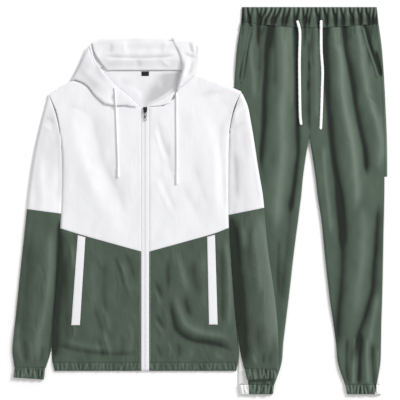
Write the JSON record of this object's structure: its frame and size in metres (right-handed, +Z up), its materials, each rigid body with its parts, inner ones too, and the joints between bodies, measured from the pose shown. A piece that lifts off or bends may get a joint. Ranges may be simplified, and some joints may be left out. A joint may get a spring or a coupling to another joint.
{
  "type": "tracksuit",
  "caption": "Hooded zip jacket and jogger trousers laid flat side by side, white and dark green cloth with elastic hem, cuffs and waistband, drawcords and welt pockets.",
  "frame": {"origin": "centre of both garments together, on the surface they lie on", "axes": "+X from the jacket to the trousers, +Y towards the hood and the waistband, +Z up from the surface"},
  "size_m": [0.9172, 0.9478, 0.0223],
  "materials": {
    "white_shell": "matt, fine plain weave",
    "green_shell": "matt, fine plain weave",
    "green_trouser": "matt, fine twill",
    "white_panel": "matt, fine plain weave",
    "black_label": "satin woven ribbon",
    "white_cord": "matt braid",
    "black_metal": "satin black",
    "steel": "bright"
  },
  "bodies": {
    "cloth": {"trouser_front_l": "green_trouser", "trouser_front_r": "green_trouser", "trouser_back_l": "green_trouser", "trouser_back_r": "green_trouser", "trouser_side_lower_l": "white_panel", "trouser_side_lower_r": "white_panel", "trouser_side_upper_l": "green_trouser", "trouser_side_upper_r": "green_trouser", "waistband_front": "green_trouser", "waistband_back": "green_trouser", "ankle_cuff_l": "green_trouser", "ankle_cuff_r": "green_trouser", "ankle_cuff_side_l": "white_panel", "ankle_cuff_side_r": "white_panel", "ankle_cuff_back_l": "green_trouser", "ankle_cuff_back_r": "green_trouser", "jacket_back_upper": "white_shell", "jacket_back_lower": "green_shell", "jacket_hem_back": "green_shell", "jacket_front_upper_l": "white_shell", "jacket_front_upper_r": "white_shell", "jacket_front_lower_l": "green_shell", "jacket_front_lower_r": "green_shell", "jacket_hem_l": "green_shell", "jacket_hem_r": "green_shell", "sleeve_upper_l": "white_shell", "sleeve_upper_r": "white_shell", "sleeve_lower_l": "green_shell", "sleeve_lower_r": "green_shell", "jacket_cuff_l": "green_shell", "jacket_cuff_r": "green_shell", "zip_tape_l": "white_shell", "zip_tape_r": "white_shell", "pocket_welt_l": "white_shell", "pocket_welt_r": "white_shell", "pocket_mouth_l": "green_trouser", "pocket_mouth_r": "green_trouser", "hood_crown_fold": "white_shell", "hood_centre": "white_shell", "hood_side_l": "white_shell", "hood_rim_l": "white_shell", "hood_corner_r": "white_shell", "hood_side_r": "white_shell", "neck_label": "black_label", "zip_slider": "black_metal", "zip_bail": "black_metal", "hood_cord_l": "white_cord", "hood_cord_r": "white_cord", "hood_cord_tip_l": "white_cord", "hood_cord_tip_r": "white_cord", "waist_cord_l": "white_cord", "waist_cord_r": "white_cord"},
    "pull_tab": {"pull_tab": "black_metal", "pull_ring": "steel"}
  },
  "joints": [
    {"name": "pull_tab_hinge", "type": "hinge", "parent": "cloth", "child": "pull_tab", "pos_m": [-0.134, 0.2184, 0.01255], "axis": [-1, 0, 0], "range_deg": [0, 170]}
  ]
}
